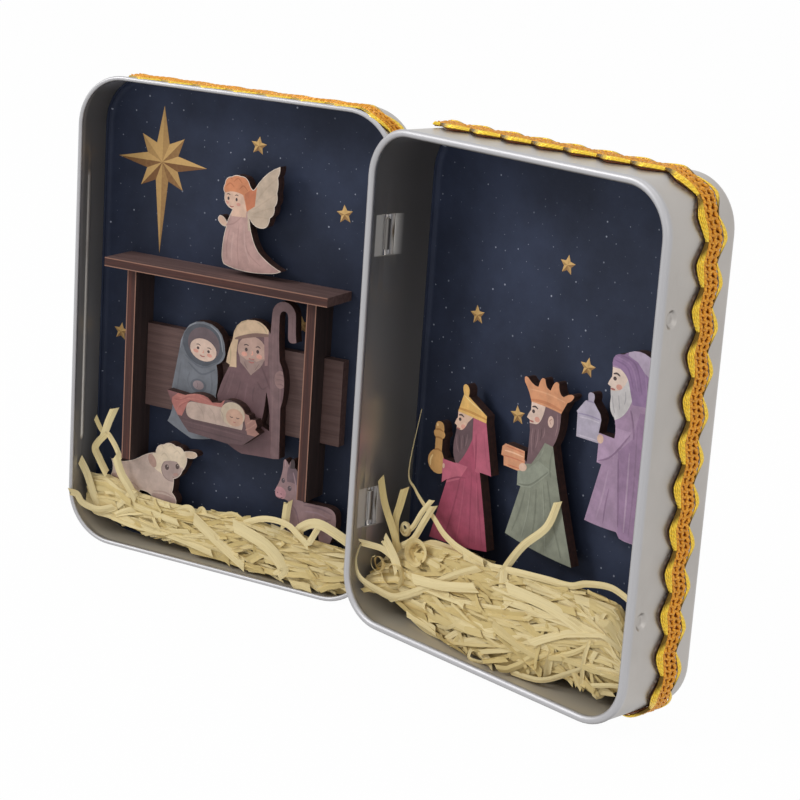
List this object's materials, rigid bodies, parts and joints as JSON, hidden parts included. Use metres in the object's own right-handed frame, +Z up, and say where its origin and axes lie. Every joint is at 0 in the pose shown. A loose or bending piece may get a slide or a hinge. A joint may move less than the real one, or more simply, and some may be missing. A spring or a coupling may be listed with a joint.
{
  "type": "hinged nativity display tin",
  "caption": "Hinged tin standing open as a small nativity scene: stable and figures in the lid, travellers in the base, straw and gold braid trim.",
  "frame": {"origin": "middle of the open tin's footprint, on the surface it stands on", "axes": "+X along the base's width from the hinge to the snap side, +Y from the open front to the back, +Z up"},
  "size_m": [0.174, 0.039, 0.1181],
  "materials": {
    "tinplate": "bare rolled tinplate, satin",
    "printed_card": "navy night sky print with small gold stars, matt",
    "gold_braid": "gold knitted braid with shiny wire-wound scalloped edges",
    "paper_straw": "cream crinkled paper straw",
    "foam_pad": "white closed-cell foam adhesive pad",
    "stained_wood": "dark brown stained board with burnt cut edges",
    "print_red_king": "printed face on laser-cut board, burnt edges",
    "print_green_king": "printed face on laser-cut board, burnt edges",
    "print_purple_king": "printed face on laser-cut board, burnt edges",
    "print_angel": "printed face on laser-cut board, burnt edges",
    "print_mary": "printed face on laser-cut board, burnt edges",
    "print_joseph": "printed face on laser-cut board, burnt edges",
    "print_manger": "printed face on laser-cut board, burnt edges",
    "print_sheep": "printed face on laser-cut board, burnt edges",
    "print_donkey": "printed face on laser-cut board, burnt edges"
  },
  "bodies": {
    "base": {"base_tin": "tinplate", "base_card": "printed_card", "base_braid": "gold_braid", "base_straw": "paper_straw", "red_king": "print_red_king", "green_king": "print_green_king", "purple_king": "print_purple_king", "red_king_pad": "foam_pad", "green_king_pad": "foam_pad", "purple_king_pad": "foam_pad"},
    "lid": {"lid_tin": "tinplate", "lid_card": "printed_card", "lid_braid": "gold_braid", "lid_straw": "paper_straw", "stable_roof": "stained_wood", "stable_left_post": "stained_wood", "stable_right_post": "stained_wood", "stable_wall_board": "stained_wood", "angel": "print_angel", "angel_pad": "foam_pad", "mary": "print_mary", "joseph": "print_joseph", "manger": "print_manger", "sheep": "print_sheep", "sheep_pad": "foam_pad", "donkey": "print_donkey", "donkey_pad": "foam_pad"}
  },
  "joints": [
    {"name": "lid_hinge", "type": "hinge", "parent": "base", "child": "lid", "pos_m": [-0.00047, 0.00534, 0.0585], "axis": [0, 0, 1], "range_deg": [0, 162.9]}
  ]
}
